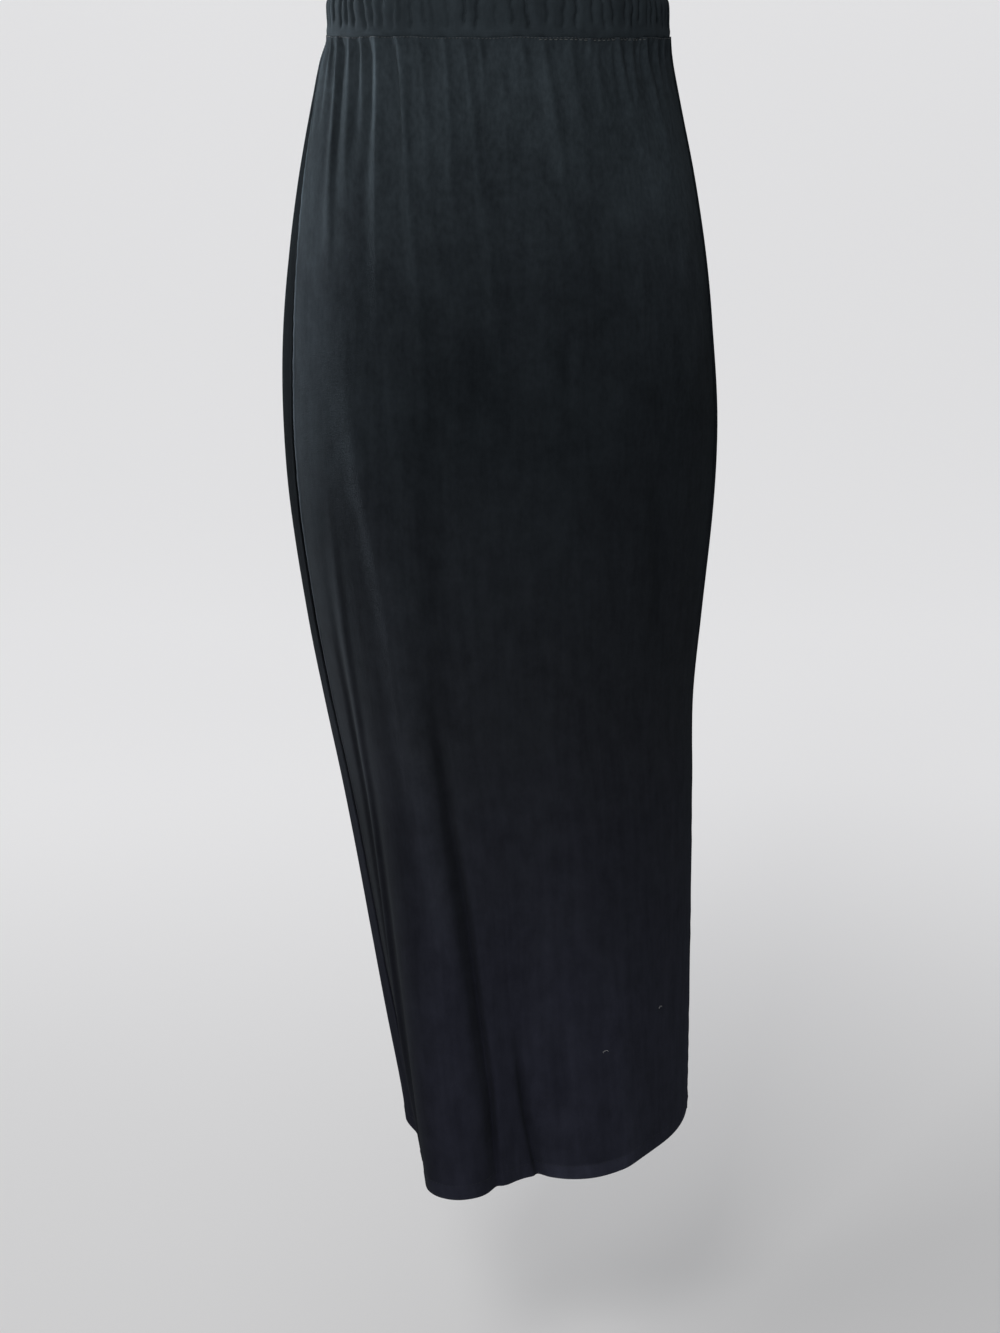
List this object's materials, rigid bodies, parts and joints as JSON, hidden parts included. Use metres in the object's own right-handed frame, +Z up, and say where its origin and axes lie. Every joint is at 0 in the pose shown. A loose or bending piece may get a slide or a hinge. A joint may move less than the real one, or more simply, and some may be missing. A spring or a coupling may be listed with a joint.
{
  "type": "maxi skirt",
  "caption": "Long black jersey skirt, filled out and hollow, with a puckered elastic waistband, gathers below it and soft folds to an open hem.",
  "frame": {"origin": "middle of the waist opening, half way up the waistband, where the skirt is held", "axes": "+Z up out of the waist, -Y towards the viewer of the front, +X to the viewer's right"},
  "size_m": [0.372, 0.2797, 1.015],
  "materials": {
    "jersey": "black knitted jersey with a soft dull sheen",
    "gathered_jersey": "the same jersey, puckered over elastic"
  },
  "bodies": {
    "root": {"waistband_front": "gathered_jersey", "waistband_back": "gathered_jersey", "front_panel_hips": "jersey", "front_panel_thighs": "jersey", "front_panel_legs": "jersey", "back_panel_hips": "jersey", "back_panel_thighs": "jersey", "back_panel_legs": "jersey"}
  },
  "joints": []
}
